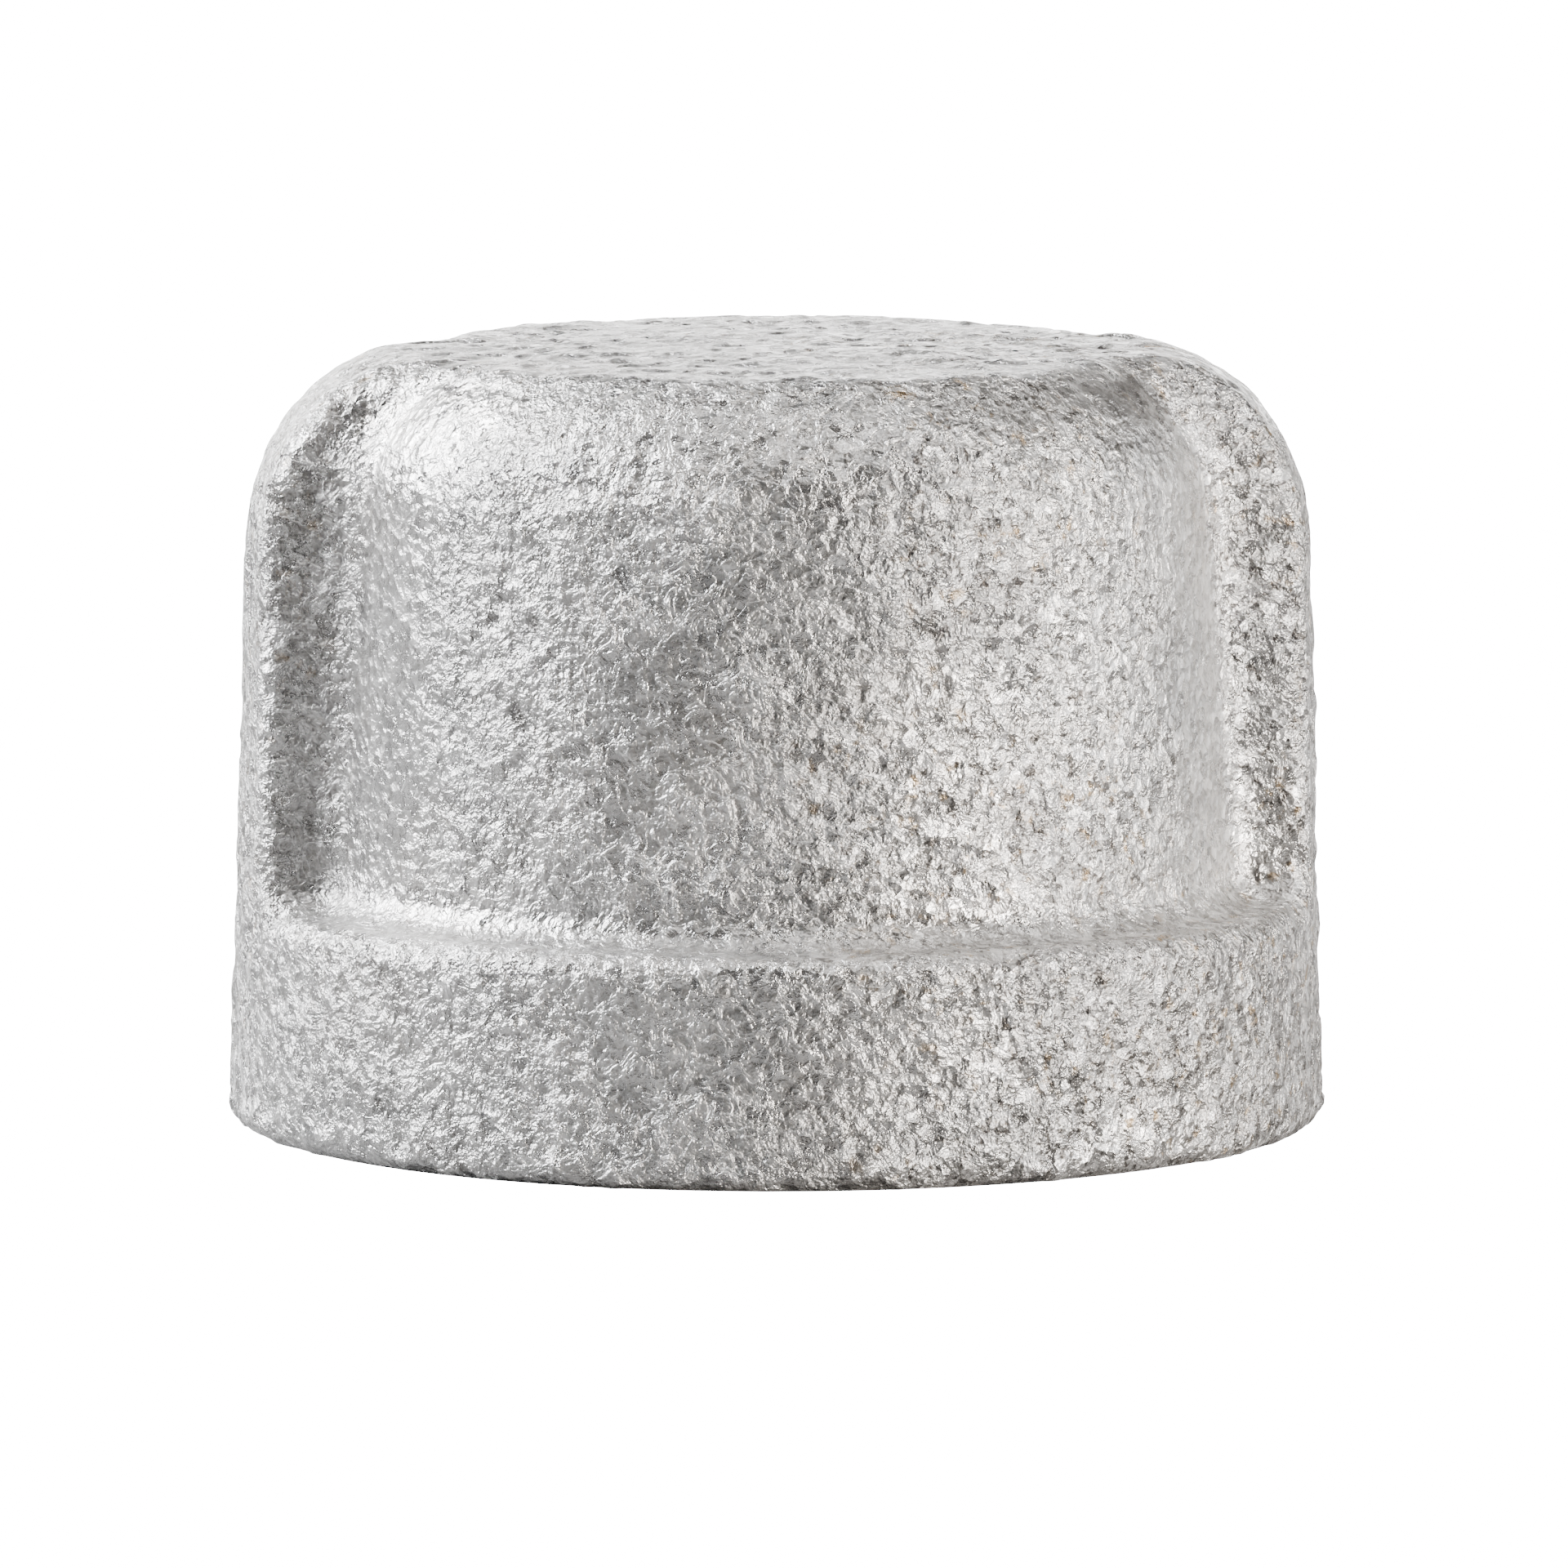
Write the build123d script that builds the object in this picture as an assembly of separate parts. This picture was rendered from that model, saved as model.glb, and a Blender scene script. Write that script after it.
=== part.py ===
from build123d import *
from build123d.topology import SkipClean
from math import atan, cos, degrees, radians, sqrt, tan
import os

# Galvanised malleable-iron pipe cap, 1/2 inch NPT, class 150, banded, with two wrench ribs.
# Millimetres. The origin is the centre of the faced rim, +Z runs up the axis to the closed end.
# The two wrench ribs stand on the +X and -X sides.

INCH = 25.4

# Pipe thread, 1/2-14 NPT, right hand
THREADS_PER_INCH = 14
PITCH = INCH / THREADS_PER_INCH
TAP_DRILL_D = 23 / 32 * INCH
TAPER = 1 / 32                      # radius lost per millimetre of depth
MOUTH_ROOT_R = 10.61                # groove root radius in the rim plane
ROOT_FLAT = 0.033 * PITCH
FLANK_TAN = tan(radians(30))
GROOVE_SHARE = 0.975                # widest groove as a share of the pitch
FULL_THREAD = 10.9                  # complete threads end here
TAP_LEAD = 2 * PITCH                # chamfered teeth of the tap
COUNTERSINK_R = 10.75

# Outside of the casting
HEIGHT = 22.0
CROWN = 0.15                        # rise of the closed end at its centre
BAND_D = 30.9                       # over the band, in the rim plane
BAND_H = 6.4
BAND_DRAFT = 1.45                   # degrees, shared by the band and the rib edges
BODY_R = 13.35                      # body radius at the ledge
WALL_DRAFT = 4.0                    # degrees, body wall and rib sides
RIB_W = 8.2                         # rib thickness at the ledge
SHOULDER_Z = 16.4                   # the ribs start to curve in here
TOP_FLAT_R = 10.4
RIM_EDGE_R = 0.6
RIB_ROOT_R = 1.15
LEDGE_R = 1.0
EDGE_R = 0.6                        # outer edges of the ribs, band top and closed end
BODY_SHOULDER_Z = 18.0              # between the ribs the wall starts to curve in here
BODY_SHOULDER_R = 4.4
SHOULDER_LEVELS = (19.2, 20.2, 21.0, 21.6, 22.0, 22.25)

# Inside of the casting
THREAD_BORE_END = 11.6
CAVITY_Z = 12.4                     # the cast cavity starts here
CAVITY_R = 9.9
CAVITY_DRAFT = 4.0                  # degrees
CAVITY_CORNER_R = 2.6
END_WALL = 2.8

# Zinc layer
COAT = 0.09

# Working sizes derived from the above
CREST_R = TAP_DRILL_D / 2
COUNTERSINK_H = COUNTERSINK_R - CREST_R
TAPER_ANGLE = degrees(atan(TAPER))
SLEEVE_R = (MOUTH_ROOT_R + BODY_R) / 2 - 0.5
SECTORS = 8
BEYOND = 5.0                        # how far cutting tools run past the metal
TOOTH_SHANK = 0.5                   # straight part of the cutting tooth inside the crest line
BEZIER_ARC = 0.5523                 # handle length that draws a quarter round


def band_radius(z):
    """Outer radius of the band cone at height z."""
    return BAND_D / 2 - z * tan(radians(BAND_DRAFT))


def envelope(grow):
    """Band, rib edges and closed end as one revolved shape, pushed outwards by grow."""
    lean = radians(BAND_DRAFT)
    out = grow / cos(lean)
    foot = (band_radius(-grow) + out, -grow)
    shoulder = (band_radius(SHOULDER_Z) + out, SHOULDER_Z)
    top = (TOP_FLAT_R, HEIGHT - CROWN + grow)
    rise = BEZIER_ARC * (top[1] - shoulder[1])
    handle_low = (shoulder[0] - rise * tan(lean), shoulder[1] + rise)
    handle_high = (top[0] + BEZIER_ARC * (shoulder[0] - top[0]), top[1])
    outline = Curve() + [
        Line((0, -grow), foot),
        Line(foot, shoulder),
        Bezier(shoulder, handle_low, handle_high, top),
        Spline([top, (0, HEIGHT + grow)], tangents=[(-1, 0), (-1, 0)]),
        Line((0, HEIGHT + grow), (0, -grow)),
    ]
    section = make_face(outline)
    rim_corner = section.vertices().sort_by_distance((foot[0], foot[1], 0))[0]
    section = fillet(rim_corner, RIM_EDGE_R + grow)
    return revolve(Plane.XZ * section, Axis.Z)


def body_radius(z):
    """Radius of the body wall between the ribs, leaning in more above the shoulder start."""
    lean_in = (z - BAND_H) * tan(radians(WALL_DRAFT))
    above = max(z - BODY_SHOULDER_Z, 0)
    return BODY_R - lean_in - (BODY_SHOULDER_R - sqrt(BODY_SHOULDER_R ** 2 - above ** 2))


def pocket_plan(z, grow):
    """Outline at height z of the space between the two ribs on the +Y side, shrunk by grow."""
    wall = grow / cos(radians(WALL_DRAFT))
    lean_in = (z - BAND_H) * tan(radians(WALL_DRAFT))
    radius = body_radius(z) + wall
    half_rib = RIB_W / 2 - lean_in + wall
    slab = Pos(0, half_rib + BAND_D / 2) * Rectangle(2 * BAND_D, BAND_D)
    plan = slab - Circle(radius)
    corner_x = sqrt(radius ** 2 - half_rib ** 2)
    corners = [
        plan.vertices().sort_by_distance((side * corner_x, half_rib, 0))[0]
        for side in (-1, 1)
    ]
    return Pos(0, 0, z) * fillet(corners, RIB_ROOT_R + lean_in - grow)


def pocket(grow):
    """Space between the two ribs on the +Y side, from the ledge to above the closed end."""
    floor = BAND_H + grow
    lower = extrude(pocket_plan(floor, grow), amount=BODY_SHOULDER_Z - floor, taper=-WALL_DRAFT)
    bottom = lower.faces().sort_by(Axis.Z)[0]
    inner = [e for e in bottom.edges() if (e @ 0.5).Y < BODY_R + BEYOND / 2]
    inner = [e for e in inner if abs((e @ 0.5).X) < BAND_D * 0.95]
    lower = fillet(inner, LEDGE_R - grow)
    join = Sketch() + lower.faces().sort_by(Axis.Z)[-1]
    upper = loft([join] + [pocket_plan(z, grow) for z in SHOULDER_LEVELS])
    return lower + upper


def outer_form(grow):
    """Outside of the cap as a solid. grow is the thickness added on top of the iron."""
    body = envelope(grow)
    front = pocket(grow)
    back = front.rotate(Axis.Z, 180)
    cut = body - front - back
    loops = new_edges(body, front, back, combined=cut)
    form = fillet(loops, EDGE_R + grow)
    below_rim = Cylinder(BAND_D, BEYOND, align=(Align.CENTER, Align.CENTER, Align.MAX))
    return form - below_rim


def cavity_form(shrink):
    """Cast cavity beyond the thread as a solid, pulled in by shrink."""
    r_low = CAVITY_R - shrink
    top = HEIGHT - END_WALL - shrink
    r_top = r_low - (top - CAVITY_Z) * tan(radians(CAVITY_DRAFT))
    outline = Polyline((0, CAVITY_Z), (r_low, CAVITY_Z), (r_top, top), (0, top), close=True)
    section = make_face(outline)
    corner = section.vertices().sort_by_distance((r_top, top, 0))[0]
    section = fillet(corner, CAVITY_CORNER_R - shrink)
    return revolve(Plane.XZ * section, Axis.Z)


def tap():
    """Helical NPT groove with the chamfered lead of a tap, as a cutting tool."""
    start = -1.2 * PITCH
    depth = CAVITY_Z + PITCH / 3 - start
    root = MOUTH_ROOT_R - start * TAPER
    half_root = ROOT_FLAT / 2
    half_mouth = GROOVE_SHARE * PITCH / 2
    crest = root - (half_mouth - half_root) / FLANK_TAN
    inner = crest - TOOTH_SHANK
    path = Helix(PITCH / cos(radians(TAPER_ANGLE)), depth, root, (0, 0, start), cone_angle=-TAPER_ANGLE)
    tooth = Polyline(
        (root, 0, start - half_root),
        (crest, 0, start - half_mouth),
        (inner, 0, start - half_mouth),
        (inner, 0, start + half_mouth),
        (crest, 0, start + half_mouth),
        (root, 0, start + half_root),
        close=True,
    )
    groove = Solid.sweep(Face(Wire(tooth.edges())), Wire(path.edges()), is_frenet=True)
    return groove & tap_limit()


def tap_limit():
    """Solid of revolution that the tap's teeth stay inside."""
    clear = ROOT_FLAT / 3
    bottom = -BEYOND
    full = MOUTH_ROOT_R - FULL_THREAD * TAPER + clear
    outline = Polyline(
        (0, bottom),
        (MOUTH_ROOT_R - bottom * TAPER + clear, bottom),
        (full, FULL_THREAD),
        (CREST_R, FULL_THREAD + TAP_LEAD),
        (0, FULL_THREAD + TAP_LEAD),
        close=True,
    )
    return revolve(Plane.XZ * make_face(outline), Axis.Z)


def threaded_sleeve():
    """Inner ring of the casting that carries the thread. Its wall is left in sectors, so every
    crest stays a short cylindrical face."""
    outline = Polyline(
        (COUNTERSINK_R, 0),
        (SLEEVE_R, 0),
        (SLEEVE_R, CAVITY_Z),
        (CREST_R + CAVITY_Z - THREAD_BORE_END, CAVITY_Z),
        (CREST_R, THREAD_BORE_END),
        (CREST_R, COUNTERSINK_H),
        close=True,
    )
    ring = revolve(Plane.XZ * make_face(outline), Axis.Z)
    ring = ring.cut(tap())
    step = 360 / SECTORS
    with SkipClean():
        wedges = []
        for k in range(SECTORS):
            foot = Plane((0, 0, -BEYOND)).rotated((0, 0, k * step))
            wedge = Solid.make_cylinder(BAND_D, HEIGHT + BEYOND, foot, angle=step)
            wedges += ring.intersect(wedge).solids()
        return wedges[0].fuse(*wedges[1:])


def casting():
    """The malleable-iron casting with its machined rim, countersink and thread."""
    plug = Cylinder(SLEEVE_R, CAVITY_Z, align=(Align.CENTER, Align.CENTER, Align.MIN))
    hollow = outer_form(0) - plug - cavity_form(0)
    sleeve = threaded_sleeve()
    with SkipClean():
        return hollow.fuse(sleeve)


def main():
    nodes = {
        "cap_casting": casting(),
        "zinc_coat_outside": outer_form(COAT) - outer_form(0),
        "zinc_coat_inside": cavity_form(0) - cavity_form(COAT),
    }
    os.makedirs("parts", exist_ok=True)
    for name, shape in nodes.items():
        export_step(shape, f"parts/{name}.step")


main()
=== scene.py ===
import math

import bpy
import numpy as np
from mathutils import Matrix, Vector


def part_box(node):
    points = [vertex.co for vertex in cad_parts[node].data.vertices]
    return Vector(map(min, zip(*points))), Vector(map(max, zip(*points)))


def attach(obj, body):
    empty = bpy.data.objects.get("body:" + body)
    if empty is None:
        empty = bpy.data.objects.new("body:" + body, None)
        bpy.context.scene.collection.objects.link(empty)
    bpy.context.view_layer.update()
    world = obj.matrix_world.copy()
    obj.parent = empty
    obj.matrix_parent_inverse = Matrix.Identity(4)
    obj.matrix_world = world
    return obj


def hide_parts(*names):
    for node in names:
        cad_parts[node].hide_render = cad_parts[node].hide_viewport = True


# Looks for a galvanised malleable-iron pipe cap. Shapes are worked out in millimetres and
# written to Blender in metres, in the CAD frame: +Z up the thread axis, ribs on +X and -X.

MM = 0.001

# Outside of the zinc, as in the CAD model
COAT = 0.09
HEIGHT = 22.0
CROWN = 0.15
BAND_R = 15.45
BAND_H = 6.4
BAND_LEAN = math.radians(1.45)
BODY_R = 13.35
WALL_LEAN = math.radians(4.0)
HALF_RIB = 4.1
SHOULDER_Z = 16.4
TOP_FLAT_R = 10.4
RIM_EDGE_R = 0.6
RIB_ROOT_R = 1.15
LEDGE_R = 1.0
EDGE_R = 0.6
BODY_SHOULDER_Z = 18.0
BODY_SHOULDER_R = 4.4
BLUNT_EDGE_R = 0.12                 # shallow crease between the shoulder and the closed end

# join_round and cut_round are exact where two faces meet at a right angle. At the ribs' other
# angles, these shares of the radius give the right round.
INNER_SHARE = 0.66                  # rib side and body wall
OUTER_SHARE = 0.72                  # rib side and outer face of the rib

# Skin mesh: rings on the closed end, then rows down to the rim
TOP_RINGS = 70
COLUMNS = 8 * TOP_RINGS
CELL = 0.172                        # spacing of the rings and rows
RAY_REACH = 14.0                    # longer than any ray's run inside the form
HALVINGS = 34                       # steps that close in on the surface along a ray
ANGLE_STEPS = 4001                  # samples round the outline that spaces the columns
OUTLINE_Z = 12.0                    # height of that outline
BY_LENGTH = 0.8                     # share of the spacing that follows the outline's length

# Relief on top of the form, and marks on the bare iron
THINNEST_ZINC = 0.03                # left over the iron in a pit
RELIEF_LIMIT = 0.2
RIM_RELIEF = 0.4                    # share of the relief that reaches the rim
TOOL_MARK = 1 / 7                   # width of a turning line on the machined iron

# Studio, in metres
FLOOR_RADIUS = 1.2
FLOOR_RINGS = 24
FLOOR_SPOKES = 96
FLOOR_DROP = 0.00002                # keeps the floor clear of the rim
SEEN_WHITE = 20.0                   # strength of the white ground that only the camera sees
DIM_SURROUND = 0.05                 # strength of the surround that lights the part
PART_MIDDLE = (0.0, 0.0, 0.011)

# Area lights: name, place, size, power, tint
LIGHTS = [
    ("soft_left", (-0.315, 0.10, 0.22), (0.20, 0.22), 6.6, (0.99, 0.99, 1.0)),
    ("soft_right", (0.285, -0.178, 0.06), (0.12, 0.18), 2.9, (1.0, 0.92, 0.84)),
    ("soft_far_right", (0.36, 0.05, 0.10), (0.22, 0.22), 0.6, (1.0, 1.0, 1.0)),
    ("soft_top", (0.06, -0.05, 0.40), (0.26, 0.26), 0.95, (1.0, 0.97, 0.94)),
    ("soft_back", (0.0, 0.5, 0.09), (0.5, 0.10), 1.2, (1.0, 0.98, 0.96)),
]

# Camera, in degrees and metres
CAMERA_AZIMUTH = -3.5               # 0 is straight in front, on the -Y side; negative is left
CAMERA_ELEVATION = 7.0
CAMERA_DISTANCE = 0.45
FRAME_WIDTH = 0.04465               # width of the view at the part
AIM_RIGHT = 0.00022
AIM_DOWN = 0.00155
SENSOR_WIDTH = 36.0                 # millimetres, as the lens

# Rays that find the surface, from the middle of the closed end to the rim:
# (radius, height) aimed at on the body, and (radius, height) that the ray starts from
RAYS = [
    (0.0, 22.1, 0.0, 15.0),
    (5.0, 22.1, 3.0, 15.0),
    (10.4, 21.95, 5.0, 15.0),
    (12.0, 20.9, 5.0, 14.8),
    (12.62, 18.0, 5.0, 14.5),
    (12.85, 15.0, 6.0, 13.5),
    (13.1, 11.0, 8.0, 9.7),
    (13.35, 8.0, 9.0, 4.9),
    (13.7, 6.9, 9.0, 4.2),
    (14.9, 6.5, 9.0, 4.0),
    (15.35, 6.0, 9.0, 3.9),
    (15.45, 4.0, 9.0, 3.4),
    (15.5, 1.0, 9.0, 1.0),
    (15.4, 0.35, 12.0, 1.2),
    (15.1, 0.02, 13.5, 1.2),
    (14.9, 0.0, 13.9, 1.0),
]


# ---------- noise ----------

def lattice(ix, iy, iz, seed):
    """A repeatable number from 0 to 1 for each whole-number point."""
    h = (ix.astype(np.int64) * 374761393 + iy.astype(np.int64) * 668265263
         + iz.astype(np.int64) * 2147483647 + seed * 974634777) & 0xFFFFFFFF
    h = ((h ^ (h >> 13)) * 1274126177) & 0xFFFFFFFF
    h = ((h ^ (h >> 16)) * 2246822519) & 0xFFFFFFFF
    return ((h ^ (h >> 15)) & 0xFFFFFF) / float(0xFFFFFF)


def value_noise(p, size, seed):
    """Smooth noise from -1 to 1 with features of about size."""
    q = p / size + 100.0
    cell = np.floor(q).astype(np.int64)
    f = q - cell
    f = f * f * f * (f * (f * 6 - 15) + 10)
    total = np.zeros(len(p))
    for dx in (0, 1):
        wx = f[:, 0] if dx else 1 - f[:, 0]
        for dy in (0, 1):
            wy = f[:, 1] if dy else 1 - f[:, 1]
            for dz in (0, 1):
                wz = f[:, 2] if dz else 1 - f[:, 2]
                total += wx * wy * wz * lattice(cell[:, 0] + dx, cell[:, 1] + dy, cell[:, 2] + dz, seed)
    return total * 2 - 1


def spots(p, size, share, seed):
    """Scattered round spots: 1 at a spot's centre, 0 at its edge and between spots."""
    q = p / size + 100.0
    cell = np.floor(q).astype(np.int64)
    best = np.zeros(len(p))
    for dx in (-1, 0, 1):
        for dy in (-1, 0, 1):
            for dz in (-1, 0, 1):
                c = cell + (dx, dy, dz)
                on = lattice(c[:, 0], c[:, 1], c[:, 2], seed + 7) < share
                centre = np.stack([
                    c[:, k] + 0.15 + 0.7 * lattice(c[:, 0], c[:, 1], c[:, 2], seed + k)
                    for k in range(3)], axis=1)
                radius = 0.18 + 0.3 * lattice(c[:, 0], c[:, 1], c[:, 2], seed + 5)
                far = np.linalg.norm(q - centre, axis=1) / radius
                best = np.maximum(best, np.where(on, np.clip(1 - far * far, 0, 1), 0))
    return best


# ---------- shape ----------

def join_round(a, b, r):
    """Union of two distance fields with a fillet of radius r."""
    return np.maximum(r, np.minimum(a, b)) - np.hypot(np.maximum(r - a, 0), np.maximum(r - b, 0))


def cut_round(a, b, r):
    """Intersection of two distance fields with a rounded edge of radius r."""
    return np.minimum(-r, np.maximum(a, b)) + np.hypot(np.maximum(r + a, 0), np.maximum(r + b, 0))


def smooth_step(x, low, high):
    t = np.clip((x - low) / (high - low), 0, 1)
    return t * t * (3 - 2 * t)


def body_wall(r, z):
    """Distance from the body wall between the ribs, which rounds inwards at the shoulder."""
    above = np.clip(z - BODY_SHOULDER_Z, 0, 0.95 * BODY_SHOULDER_R)
    arc = np.sqrt(BODY_SHOULDER_R ** 2 - above ** 2)
    lean = np.where(z > BAND_H, math.tan(WALL_LEAN), 0)
    radius = BODY_R - (z - BAND_H) * lean - (BODY_SHOULDER_R - arc)
    return (r - radius) / np.hypot(1, lean + above / arc)


def outside(p):
    """Distance from the outside of the zinc, negative inside it, for points in millimetres."""
    y, z = p[:, 1], p[:, 2]
    r = np.hypot(p[:, 0], y)
    cone = (r - (BAND_R - z * math.tan(BAND_LEAN))) * math.cos(BAND_LEAN) - COAT
    top = z - (HEIGHT - CROWN * (r / TOP_FLAT_R) ** 2) - COAT
    a = BAND_R - SHOULDER_Z * math.tan(BAND_LEAN) + COAT - TOP_FLAT_R
    b = HEIGHT - CROWN + COAT - SHOULDER_Z
    u = np.maximum(r - TOP_FLAT_R, 1e-6) / a
    v = np.maximum(z - SHOULDER_Z, 0) / b
    q = u * u + v * v
    round_off = (q - 1) / (2 * np.hypot(u / a, v / b) + 1e-9)
    envelope = np.where(r < TOP_FLAT_R, top, np.where(z < SHOULDER_Z, cone, round_off))
    rise = np.maximum(z - BAND_H, 0) * math.tan(WALL_LEAN)
    wall = body_wall(r, z) - COAT
    rib = (np.abs(y) - (HALF_RIB - rise)) * math.cos(WALL_LEAN) - COAT
    upper = join_round(wall, rib, INNER_SHARE * (RIB_ROOT_R + rise))
    solid = join_round(upper, z - BAND_H - COAT, LEDGE_R)
    blunt = smooth_step(z, 19.5, 21.0) * smooth_step(np.abs(y), 3.2, 4.6)
    on_rib_edge = smooth_step(z, BAND_H, 7.2) * smooth_step(-z, -21.8, -19.0)
    edge = (EDGE_R + COAT) * (1 - (1 - OUTER_SHARE) * on_rib_edge)
    whole = cut_round(envelope, solid, edge - (edge - BLUNT_EDGE_R) * blunt)
    return cut_round(whole, -z - COAT, RIM_EDGE_R + COAT)


def normals_of(p):
    """Outward unit normals from the slope of the distance field."""
    h = 0.02
    n = np.stack([
        outside(p + step) - outside(p - step)
        for step in np.eye(3) * h], axis=1)
    return n / (np.linalg.norm(n, axis=1, keepdims=True) + 1e-12)


def on_surface(origin, direction):
    """Where each ray leaves the outside form."""
    low = np.zeros(len(origin))
    high = np.full(len(origin), RAY_REACH)
    for _ in range(HALVINGS):
        mid = (low + high) / 2
        inside = outside(origin + direction * mid[:, None]) < 0
        low = np.where(inside, mid, low)
        high = np.where(inside, high, mid)
    return origin + direction * high[:, None]


def column_angles():
    """Angles of the mesh columns, closer together where the rib sides run outwards."""
    theta = np.linspace(-math.pi / 4, math.pi * 7 / 4, ANGLE_STEPS)
    flat = np.stack([np.cos(theta), np.sin(theta), np.zeros_like(theta)], axis=1)
    ring = on_surface(np.array([0, 0, OUTLINE_Z]) + flat * BODY_R / 2, flat)
    arc = np.concatenate([[0], np.cumsum(np.linalg.norm(np.diff(ring, axis=0), axis=1))])
    share = BY_LENGTH * arc / arc[-1] + (1 - BY_LENGTH) * np.linspace(0, 1, len(arc))
    return share, theta


def ray_table():
    """Rays spaced evenly along the outside, as (start radius, start height, dr, dz)."""
    keys = np.array(RAYS)
    arc = np.concatenate([[0], np.cumsum(np.hypot(np.diff(keys[:, 0]), np.diff(keys[:, 1])))])
    top = np.linspace(0, TOP_RINGS * CELL, TOP_RINGS + 1)
    count = int((arc[-1] - top[-1]) / CELL)
    s = np.concatenate([top, np.linspace(top[-1], arc[-1], count + 1)[1:]])
    aim_r, aim_z, from_r, from_z = (np.interp(s, arc, keys[:, k]) for k in range(4))
    run = np.hypot(aim_r - from_r, aim_z - from_z)
    return from_r, from_z, (aim_r - from_r) / run, (aim_z - from_z) / run


def skin_grid():
    """Points and faces of the whole outside: a square patch wrapped over the closed end, then
    rows of columns that start at the patch's edge and run down to the rim."""
    share, theta = column_angles()
    from_r, from_z, dr, dz = ray_table()
    line = np.arange(-TOP_RINGS, TOP_RINGS + 1)
    gi, gj = np.meshgrid(line, line, indexing="ij")
    ring = np.maximum(np.abs(gi), np.abs(gj))
    place = np.select(
        [(gi == ring) & (gj < ring), (gj == ring) & (gi > -ring), (gi == -ring) & (gj > -ring)],
        [gj + ring, 3 * ring - gi, 5 * ring - gj],
        default=7 * ring + gi)
    turn = np.where(ring > 0, place / np.maximum(8 * ring, 1), 0.0)
    rows = np.arange(TOP_RINGS + 1, len(from_r))
    side_turn = np.tile(np.arange(COLUMNS) / COLUMNS, len(rows))
    row = np.concatenate([ring.ravel(), np.repeat(rows, COLUMNS)])
    angle = np.interp(np.concatenate([turn.ravel(), side_turn]), share, theta)
    c, s = np.cos(angle), np.sin(angle)
    origin = np.stack([from_r[row] * c, from_r[row] * s, from_z[row]], axis=1)
    direction = np.stack([dr[row] * c, dr[row] * s, dz[row]], axis=1)
    points = on_surface(origin, direction)

    size = 2 * TOP_RINGS + 1
    index = np.arange(size * size).reshape(size, size)
    quads = np.stack([index[:-1, :-1], index[1:, :-1], index[1:, 1:], index[:-1, 1:]], axis=-1)
    faces = [quads.reshape(-1, 4)]
    above = np.empty(COLUMNS, dtype=np.int64)
    outer = ring == TOP_RINGS
    above[place[outer] % COLUMNS] = index[outer]
    for n in range(len(rows)):
        below = size * size + n * COLUMNS + np.arange(COLUMNS)
        faces.append(np.stack([above, below, np.roll(below, -1), np.roll(above, -1)], axis=1))
        above = below
    return points, np.concatenate(faces)


def corner_share(p):
    """1 where zinc pools in the inside corners beside the ribs and over the ledge, 0 elsewhere."""
    y, z = np.abs(p[:, 1]), p[:, 2]
    r = np.hypot(p[:, 0], y)
    beside_rib = smooth_step(5.2 + 0.9 * value_noise(p, 2.6, 61) - (y - HALF_RIB), 0.0, 2.6)
    beside_rib *= smooth_step(y - HALF_RIB, -0.2, 0.6) * smooth_step(z, 6.6, 8.0)
    over_ledge = smooth_step(z, 6.2, 6.7) * smooth_step(-z, -8.6, -7.0) * smooth_step(-r, -15.0, -14.2)
    return np.maximum(beside_rib, 0.6 * over_ledge)


def rib_face(p):
    """1 on the outer faces of the two ribs, 0 elsewhere."""
    r = np.hypot(p[:, 0], p[:, 1])
    return smooth_step(-np.abs(p[:, 1]), -4.4, -3.6) * smooth_step(r, 12.6, 13.4)


def coarseness(p):
    """How rough the cast skin is: low in the inside corners, high on the ribs and the closed end."""
    patches = smooth_step(value_noise(p, 4.2, 21) + 0.5 * value_noise(p, 1.6, 22), -0.5, 0.6)
    general = (0.45 + 0.55 * patches) * (1 - 0.75 * corner_share(p))
    on_top = 0.85 * smooth_step(p[:, 2], 21.3, 21.9)
    return np.maximum(general, np.maximum(rib_face(p), on_top))


def frost_and_glint_share(p):
    """How far the zinc froze with open, dirty grains, and where painted glints and painted shade go: most
    on the +X side and the closed end.
    """
    blur = 3.0 * value_noise(p, 3.6, 91) + 1.5 * value_noise(p, 1.2, 92)
    general = 0.15 + 0.85 * smooth_step(p[:, 0] + blur, -4.0, 6.0)
    # On the closed end, patches of painted dark and light mottle that stand in for the shading of its
    # rough relief.
    on_top = smooth_step(p[:, 2], 20.8, 21.8) * smooth_step(value_noise(p, 2.4, 93), -0.7, 0.3)
    frost_and_glint = np.maximum(general, np.maximum(0.55 * rib_face(p), on_top))
    return frost_and_glint * (1 - 0.5 * corner_share(p))


def surface_relief(p, coarse):
    """Cast and galvanised relief in millimetres, and a mask of its pits."""
    wave = 0.045 * value_noise(p, 6.5, 11) + 0.030 * value_noise(p, 3.1, 12)
    warp = np.stack([value_noise(p, 1.1, 70 + k) for k in range(3)], axis=1)
    bent = p + 0.35 * warp
    lumps = 0.040 * value_noise(bent, 1.15, 13) + 0.038 * value_noise(bent, 0.62, 14)
    grain = 0.032 * value_noise(bent, 0.40, 15)
    crust = 0.08 * np.clip(value_noise(bent, 0.85, 17) - 0.2, 0, 1)
    pits = spots(p + 0.2 * warp, 1.35, 0.16, 31) * smooth_step(value_noise(p, 0.5, 32), -0.6, 0.5)
    pits = np.maximum(pits, 0.8 * spots(p + 0.1 * warp, 0.62, 0.12, 41)) * coarse
    ragged = np.clip(0.20 * value_noise(p, 1.3, 81) + 0.12 * value_noise(p, 0.6, 82), 0, 1)
    ragged *= smooth_step(-p[:, 2], -1.3, -0.3)
    relief = wave + coarse * (lumps + grain + crust) + ragged - 0.10 * pits
    return np.clip(relief, THINNEST_ZINC - COAT, RELIEF_LIMIT), pits


# ---------- Blender helpers ----------

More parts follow.
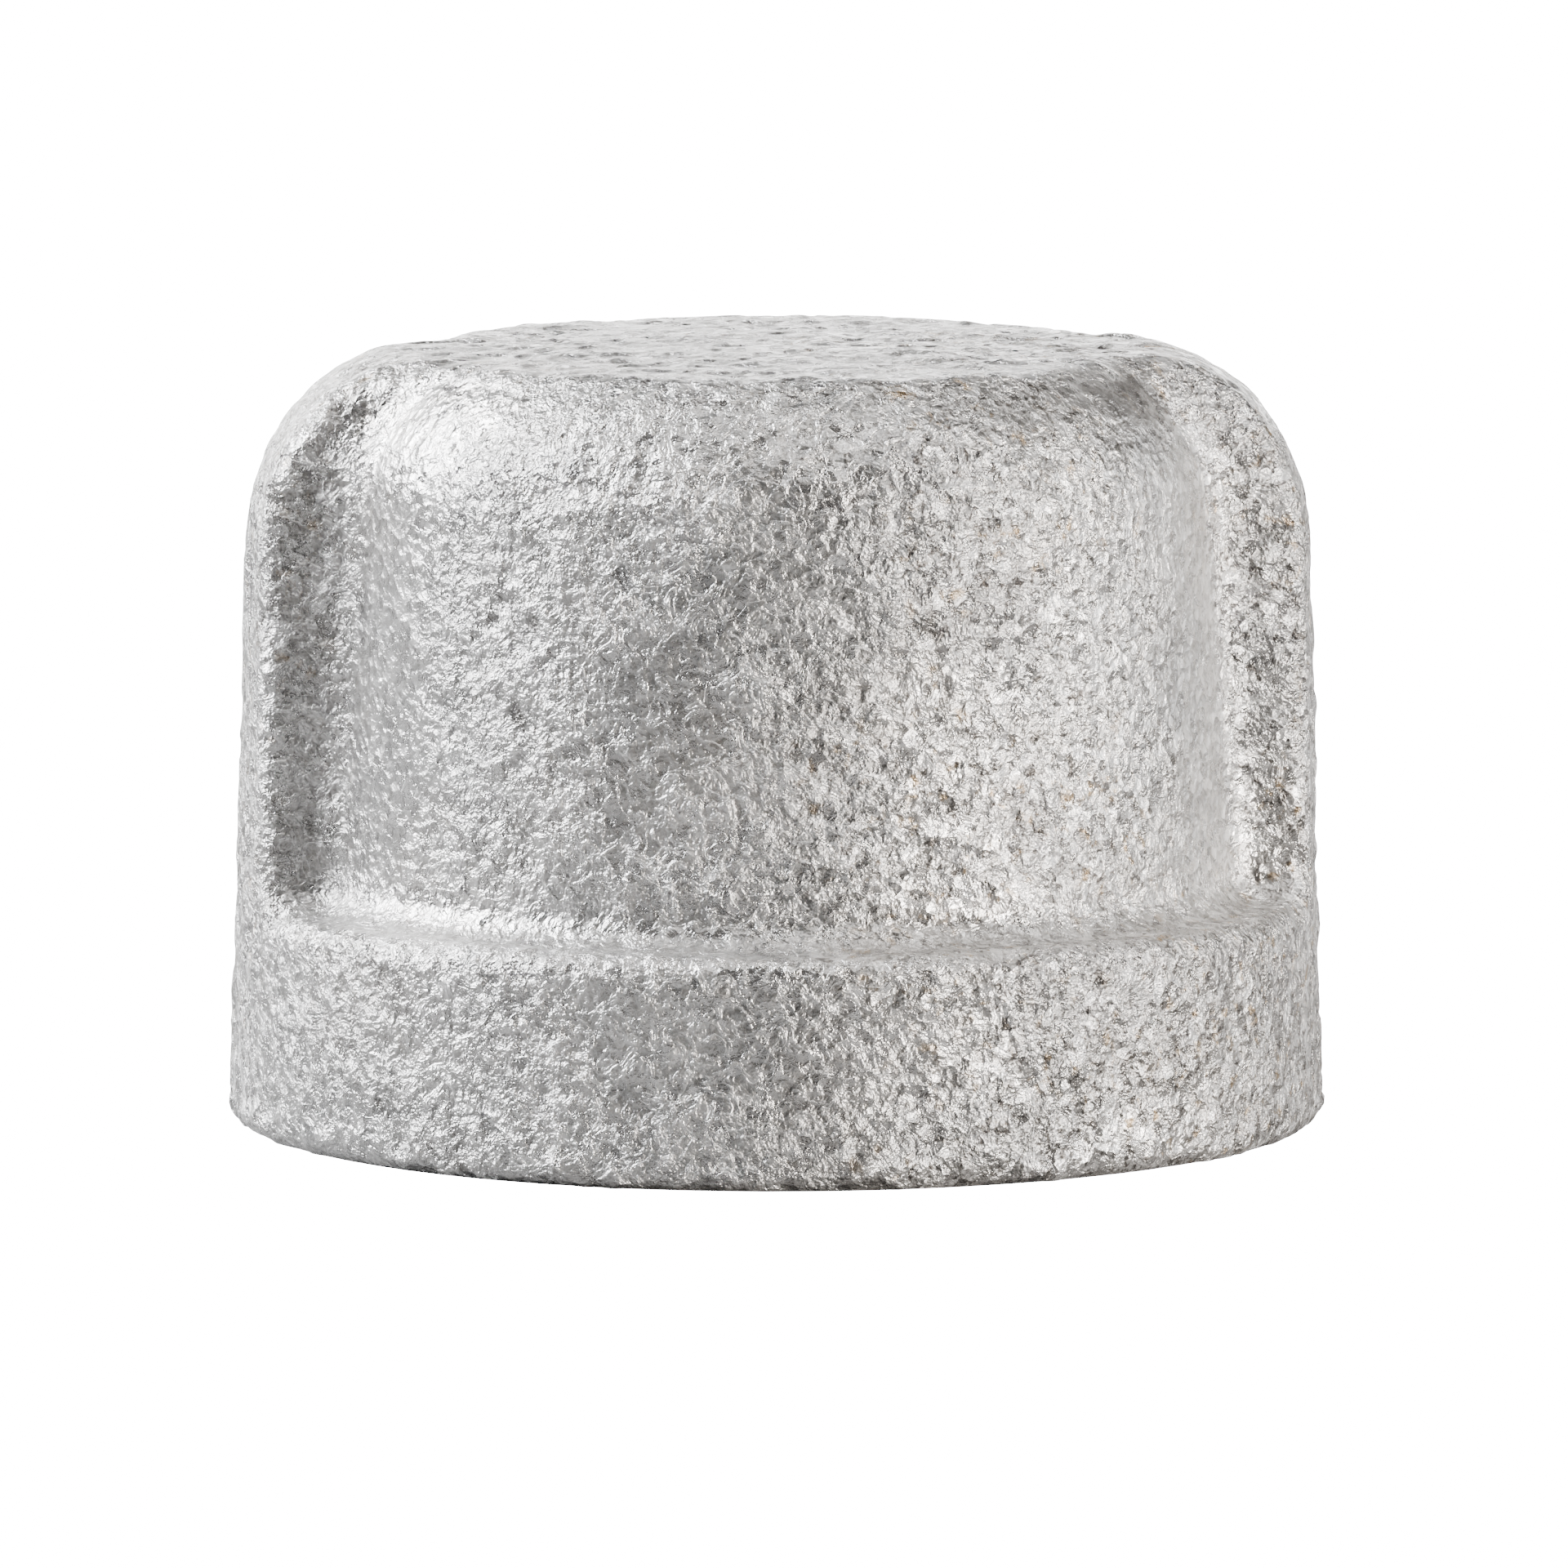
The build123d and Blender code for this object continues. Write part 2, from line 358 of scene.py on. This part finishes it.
def mesh_object(name, points, faces):
    """A smooth-shaded mesh object from points in millimetres and quads."""
    mesh = bpy.data.meshes.new(name)
    mesh.from_pydata((points * MM).tolist(), [], faces.tolist())
    mesh.polygons.foreach_set("use_smooth", [True] * len(mesh.polygons))
    mesh.update()
    obj = bpy.data.objects.new(name, mesh)
    bpy.context.scene.collection.objects.link(obj)
    return obj


def point_mask(obj, name, values):
    attribute = obj.data.attributes.new(name, "FLOAT", "POINT")
    attribute.data.foreach_set("value", np.asarray(values, dtype=np.float32))


class Shader:
    """Short calls for building a material's node tree."""

    def __init__(self, name):
        self.material = bpy.data.materials.new(name)
        self.material.use_nodes = True
        self.tree = self.material.node_tree
        self.bsdf = next(n for n in self.tree.nodes if n.type == "BSDF_PRINCIPLED")
        coord = self.tree.nodes.new("ShaderNodeTexCoord")
        scale = self.node("ShaderNodeMapping", {"Vector": coord.outputs["Object"]})
        scale.inputs["Scale"].default_value = (1 / MM, 1 / MM, 1 / MM)
        self.mm = scale.outputs["Vector"]

    def node(self, kind, inputs=None, **settings):
        made = self.tree.nodes.new(kind)
        for key, value in settings.items():
            setattr(made, key, value)
        for key, value in (inputs or {}).items():
            self.feed(made.inputs[key], value)
        return made

    def feed(self, socket, value):
        if isinstance(value, bpy.types.NodeSocket):
            self.tree.links.new(value, socket)
        else:
            socket.default_value = value

    def noise(self, size, detail=2.0, rough=0.5, distortion=0.0, where=None):
        made = self.node("ShaderNodeTexNoise", {
            "Vector": where or self.mm, "Scale": 1 / size, "Detail": detail,
            "Roughness": rough, "Distortion": distortion})
        return made.outputs["Fac"]

    def cells(self, size, output="Color", feature="F1", smooth=None, where=None):
        inputs = {"Vector": where or self.mm, "Scale": 1 / size}
        made = self.node("ShaderNodeTexVoronoi", inputs, feature=feature)
        if smooth is not None:
            made.inputs["Smoothness"].default_value = smooth
        return made.outputs[output]

    def vector_math(self, operation, inputs):
        return self.node("ShaderNodeVectorMath", inputs, operation=operation).outputs[0]

    def pushed(self, vector, colour, amount):
        """A vector moved by a random colour, which is taken as grey on average."""
        centred = self.vector_math("SUBTRACT", {0: colour, 1: (0.5, 0.5, 0.5)})
        scaled = self.vector_math("SCALE", {0: centred, "Scale": amount})
        return self.vector_math("ADD", {0: vector, 1: scaled})

    def bend(self, size, amount):
        """The millimetre coordinates pushed about by noise, for ragged cell edges."""
        push = self.node("ShaderNodeTexNoise", {"Vector": self.mm, "Scale": 1 / size, "Detail": 0.0})
        return self.pushed(self.mm, push.outputs["Color"], amount)

    def tilted(self, cell_colour, amount):
        """Surface normal leaned at random in each crystal, so they catch light one by one."""
        surface = self.node("ShaderNodeNewGeometry").outputs["Normal"]
        return self.vector_math("NORMALIZE", {0: self.pushed(surface, cell_colour, amount)})

    def attribute(self, name):
        return self.node("ShaderNodeAttribute", attribute_name=name).outputs["Fac"]

    def spread(self, value, low, high, to_low=0.0, to_high=1.0):
        return self.node("ShaderNodeMapRange", {
            "Value": value, "From Min": low, "From Max": high,
            "To Min": to_low, "To Max": to_high}).outputs["Result"]

    def math(self, operation, a, b=0.0):
        made = self.node("ShaderNodeMath", operation=operation)
        self.feed(made.inputs[0], a)
        self.feed(made.inputs[1], b)
        return made.outputs[0]

    def mix(self, factor, a, b):
        made = self.node("ShaderNodeMix", data_type="RGBA")
        self.feed(made.inputs["Factor"], factor)
        self.feed(made.inputs["A"], a)
        self.feed(made.inputs["B"], b)
        return made.outputs["Result"]

    def bump(self, height, depth, under=None):
        made = self.node("ShaderNodeBump", {"Height": height, "Strength": 1.0, "Distance": depth * MM})
        if under is not None:
            self.feed(made.inputs["Normal"], under)
        return made.outputs["Normal"]


def grey(level, warm=0.0):
    return (level * (1 + warm), level, level * (1 - warm), 1.0)


def zinc_material():
    """Hot-dip zinc over a sand-cast skin: grey crystals, dull patches, pits and rusty specks, with painted
    glints on single crystals and painted highlights along thin ridge lines.
    """
    s = Shader("hot_dip_zinc")
    coarse = s.attribute("coarse")
    pit = s.attribute("pit")
    frost_and_glint = s.attribute("frost_and_glint")
    bent = s.bend(0.6, 0.16)
    crystal = s.cells(0.30, where=bent)
    parts = s.node("ShaderNodeSeparateColor", {"Color": crystal}).outputs
    fine = s.noise(0.17, 3.0, 0.62)
    medium = s.noise(0.50, 3.0, 0.58, 0.35)
    patch = s.noise(3.0, 3.0, 0.55, 0.4)
    flow = s.noise(8.0, 2.0, 0.5, 0.8)

    colour = s.mix(s.spread(patch, 0.35, 0.65), grey(0.27, -0.01), grey(0.40, 0.005))
    colour = s.mix(s.spread(flow, 0.42, 0.66, 0.0, 0.6), colour, grey(0.37, 0.05))
    pale = s.math("MULTIPLY", s.spread(medium, 0.44, 0.60), s.spread(coarse, 0.1, 0.9, 0.35, 0.7))
    colour = s.mix(pale, colour, grey(0.64, 0.01))
    colour = s.mix(s.spread(parts["Red"], 0.0, 1.0, 0.0, 0.35), colour, grey(0.66, 0.01))
    # Thin wisp lines: a small ridge in the bump further down, and a near-white painted highlight along it.
    wisp_and_highlight = s.math("ABSOLUTE", s.math("SUBTRACT", s.noise(0.8, 3.0, 0.6, 1.0), 0.5))
    wisp_and_highlight = s.math("MULTIPLY", s.spread(wisp_and_highlight, 0.055, 0.0), s.spread(coarse, 0.1, 0.6, 0.15, 0.75))
    colour = s.mix(wisp_and_highlight, colour, grey(0.92))
    dark = s.math("MULTIPLY", s.spread(fine, 0.43, 0.30), s.spread(frost_and_glint, 0.1, 0.9, 0.35, 1.0))
    colour = s.mix(dark, colour, grey(0.12, 0.05))
    # Painted glints: single crystals painted white, mostly where frost is high, standing in for crystals
    # catching the light.
    painted_glint = s.math("MULTIPLY", s.spread(parts["Green"], 0.70, 0.84), s.spread(frost_and_glint, 0.2, 0.9, 0.1, 0.95))
    colour = s.mix(painted_glint, colour, grey(1.0))
    rust = s.math("MULTIPLY", s.spread(s.noise(0.55, 4.0, 0.62), 0.58, 0.68), s.spread(flow, 0.40, 0.54))
    rust = s.math("MULTIPLY", rust, s.spread(frost_and_glint, 0.3, 0.9, 0.1, 0.85))
    colour = s.mix(rust, colour, (0.38, 0.27, 0.15, 1.0))
    # Dark patches that follow the frost mask: partly grime, and on the closed end painted shade that
    # stands in for the shading of its rough relief.
    grime_and_shade = s.spread(s.noise(0.34, 3.0, 0.6, 0.8), 0.56, 0.65)
    grime_and_shade = s.math("MULTIPLY", grime_and_shade, s.spread(frost_and_glint, 0.2, 0.9, 0.05, 0.9))
    colour = s.mix(grime_and_shade, colour, grey(0.10, 0.08))
    colour = s.mix(s.spread(pit, 0.2, 0.8, 0.0, 0.8), colour, grey(0.12, 0.06))
    s.feed(s.bsdf.inputs["Base Color"], colour)
    s.bsdf.inputs["Metallic"].default_value = 0.86

    dull = s.spread(parts["Blue"], 0.0, 1.0, 0.19, 0.35)
    dull = s.math("ADD", dull, s.spread(patch, 0.3, 0.7, -0.03, 0.07))
    dull = s.math("ADD", dull, s.spread(dark, 0.0, 1.0, 0.0, 0.25))
    s.feed(s.bsdf.inputs["Roughness"], dull)

    facets = s.math("MULTIPLY", s.math("ADD", coarse, frost_and_glint), 0.28)
    normal = s.tilted(crystal, facets)
    depth = s.spread(coarse, 0.1, 1.0, 0.25, 1.0)
    normal = s.bump(s.math("MULTIPLY", medium, depth), 0.27, normal)
    normal = s.bump(s.math("MULTIPLY", fine, depth), 0.10, normal)
    normal = s.bump(wisp_and_highlight, 0.03, normal)
    normal = s.bump(s.cells(0.30, "Distance", "SMOOTH_F1", 0.25, bent), 0.045, normal)
    s.feed(s.bsdf.inputs["Normal"], normal)
    return s.material


def inner_zinc_material():
    """The same zinc inside the cast cavity, duller and smoother."""
    s = Shader("hot_dip_zinc_inside")
    patch = s.noise(2.4, 3.0, 0.55, 0.3)
    crystal = s.node("ShaderNodeSeparateColor", {"Color": s.cells(0.5)}).outputs["Red"]
    colour = s.mix(s.spread(patch, 0.35, 0.65), grey(0.40, 0.01), grey(0.52, -0.01))
    colour = s.mix(s.spread(crystal, 0.0, 1.0, 0.0, 0.3), colour, grey(0.66))
    s.feed(s.bsdf.inputs["Base Color"], colour)
    s.bsdf.inputs["Metallic"].default_value = 0.9
    s.feed(s.bsdf.inputs["Roughness"], s.spread(crystal, 0.0, 1.0, 0.42, 0.6))
    normal = s.bump(s.noise(0.9, 3.0, 0.55), 0.12)
    normal = s.bump(s.noise(0.25, 3.0, 0.6), 0.06, normal)
    s.feed(s.bsdf.inputs["Normal"], normal)
    return s.material


def machined_iron_material():
    """Bare iron left by the tap and the facing cut: fine turning lines round the axis."""
    s = Shader("machined_iron")
    split = s.node("ShaderNodeSeparateXYZ", {"Vector": s.mm})
    x, y, z = (split.outputs[k] for k in "XYZ")
    radius = s.math("SQRT", s.math("ADD", s.math("MULTIPLY", x, x), s.math("MULTIPLY", y, y)))
    section = s.node("ShaderNodeCombineXYZ", {"X": radius, "Z": z}).outputs["Vector"]
    lines = s.noise(TOOL_MARK, 3.0, 0.6, where=section)
    stain = s.noise(2.0, 4.0, 0.6, 0.5)
    specks = s.noise(0.3, 3.0, 0.6)
    colour = s.mix(s.spread(lines, 0.3, 0.7), grey(0.30, 0.02), grey(0.46, 0.01))
    colour = s.mix(s.spread(stain, 0.45, 0.75, 0.0, 0.55), colour, (0.22, 0.185, 0.15, 1.0))
    colour = s.mix(s.spread(specks, 0.62, 0.75, 0.0, 0.5), colour, grey(0.12, 0.05))
    s.feed(s.bsdf.inputs["Base Color"], colour)
    s.bsdf.inputs["Metallic"].default_value = 1.0
    s.feed(s.bsdf.inputs["Roughness"], s.spread(stain, 0.3, 0.8, 0.28, 0.55))
    normal = s.bump(lines, 0.02)
    normal = s.bump(specks, 0.02, normal)
    s.feed(s.bsdf.inputs["Normal"], normal)
    return s.material


# ---------- scene ----------

def build_skin():
    """The zinc outside: the smooth form with its relief, which fades towards the faced rim."""
    points, faces = skin_grid()
    coarse = coarseness(points)
    relief, pits = surface_relief(points, coarse)
    relief *= RIM_RELIEF + (1 - RIM_RELIEF) * smooth_step(points[:, 2], 0.0, RIM_EDGE_R)
    moved = points + normals_of(points) * relief[:, None]
    moved[:, 2] = np.maximum(moved[:, 2], 0.0)
    skin = mesh_object("galvanised_outside", moved, faces)
    point_mask(skin, "pit", pits)
    point_mask(skin, "coarse", coarse)
    point_mask(skin, "frost_and_glint", frost_and_glint_share(points))
    skin.data.materials.append(zinc_material())
    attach(skin, "root")
    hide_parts("zinc_coat_outside")


def dress_node(name, material):
    """Give a CAD node its material."""
    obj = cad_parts[name]
    obj.data.materials.clear()
    obj.data.materials.append(material)


def build_floor():
    """Flat round floor, white to the camera and plain grey to the lights."""
    ring, spoke = np.divmod(np.arange((FLOOR_RINGS + 1) * FLOOR_SPOKES), FLOOR_SPOKES)
    r = FLOOR_RADIUS * ring / FLOOR_RINGS
    a = 2 * math.pi * spoke / FLOOR_SPOKES
    points = np.stack([r * np.cos(a), r * np.sin(a), np.full(len(r), -FLOOR_DROP)], axis=1)
    inner = np.arange(FLOOR_RINGS * FLOOR_SPOKES)
    beside = inner // FLOOR_SPOKES * FLOOR_SPOKES + (inner + 1) % FLOOR_SPOKES
    faces = np.stack([inner, inner + FLOOR_SPOKES, beside + FLOOR_SPOKES, beside], axis=1)
    floor = mesh_object("studio_floor", points / MM, faces)

    s = Shader("pale_floor")
    s.feed(s.bsdf.inputs["Base Color"], s.mix(s.noise(40.0, 2.0, 0.5), grey(0.19), grey(0.21)))
    s.bsdf.inputs["Roughness"].default_value = 0.8
    glow = s.node("ShaderNodeEmission", {"Strength": SEEN_WHITE})
    seen = s.node("ShaderNodeLightPath").outputs["Is Camera Ray"]
    both = s.node("ShaderNodeMixShader", {"Fac": seen, 1: s.bsdf.outputs[0], 2: glow.outputs[0]})
    output = next(n for n in s.tree.nodes if n.type == "OUTPUT_MATERIAL")
    s.feed(output.inputs["Surface"], both.outputs[0])
    floor.data.materials.append(s.material)


def build_world():
    """Surround that is white to the camera and nearly dark to the part."""
    world = bpy.data.worlds.new("studio")
    bpy.context.scene.world = world
    world.use_nodes = True
    tree = world.node_tree
    dim = next(n for n in tree.nodes if n.type == "BACKGROUND")
    white = tree.nodes.new("ShaderNodeBackground")
    for background, strength in ((dim, DIM_SURROUND), (white, SEEN_WHITE)):
        background.inputs["Color"].default_value = (1.0, 1.0, 1.0, 1.0)
        background.inputs["Strength"].default_value = strength
    mix = tree.nodes.new("ShaderNodeMixShader")
    tree.links.new(tree.nodes.new("ShaderNodeLightPath").outputs["Is Camera Ray"], mix.inputs["Fac"])
    tree.links.new(dim.outputs[0], mix.inputs[1])
    tree.links.new(white.outputs[0], mix.inputs[2])
    output = next(n for n in tree.nodes if n.type == "OUTPUT_WORLD")
    tree.links.new(mix.outputs[0], output.inputs["Surface"])


def build_lights():
    for name, place, size, power, tint in LIGHTS:
        data = bpy.data.lights.new(name, "AREA")
        data.shape = "RECTANGLE"
        data.size, data.size_y = size
        data.energy = power
        data.color = tint
        obj = bpy.data.objects.new(name, data)
        obj.location = place
        facing = Vector(PART_MIDDLE) - Vector(place)
        obj.rotation_euler = facing.to_track_quat("-Z", "Y").to_euler()
        bpy.context.scene.collection.objects.link(obj)


def build_camera():
    """Long lens, a little above the horizon and a little to the left of straight in front."""
    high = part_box("zinc_coat_outside")[1]
    azimuth, elevation = math.radians(CAMERA_AZIMUTH), math.radians(CAMERA_ELEVATION)
    away = Vector((math.sin(azimuth) * math.cos(elevation),
                   -math.cos(azimuth) * math.cos(elevation), math.sin(elevation)))
    right = Vector((math.cos(azimuth), math.sin(azimuth), 0.0))
    up = right.cross(-away).normalized()
    aim = Vector((0, 0, high[2] / 2)) + right * AIM_RIGHT - up * AIM_DOWN
    data = bpy.data.cameras.new("camera")
    data.sensor_width = SENSOR_WIDTH
    data.lens = SENSOR_WIDTH * CAMERA_DISTANCE / FRAME_WIDTH
    data.clip_start, data.clip_end = 0.01, 10.0
    camera = bpy.data.objects.new("camera", data)
    camera.location = aim + away * CAMERA_DISTANCE
    camera.rotation_euler = (-away).to_track_quat("-Z", "Y").to_euler()
    bpy.context.scene.collection.objects.link(camera)
    bpy.context.scene.camera = camera


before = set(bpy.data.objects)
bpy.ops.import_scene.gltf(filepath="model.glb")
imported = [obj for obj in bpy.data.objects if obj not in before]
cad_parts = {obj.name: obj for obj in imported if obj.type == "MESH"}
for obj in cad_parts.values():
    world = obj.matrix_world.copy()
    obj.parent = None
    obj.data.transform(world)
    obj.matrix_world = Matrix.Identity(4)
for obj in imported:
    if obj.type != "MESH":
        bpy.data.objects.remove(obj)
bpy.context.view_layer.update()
build_skin()
dress_node("cap_casting", machined_iron_material())
dress_node("zinc_coat_inside", inner_zinc_material())
build_floor()
build_world()
build_lights()
build_camera()
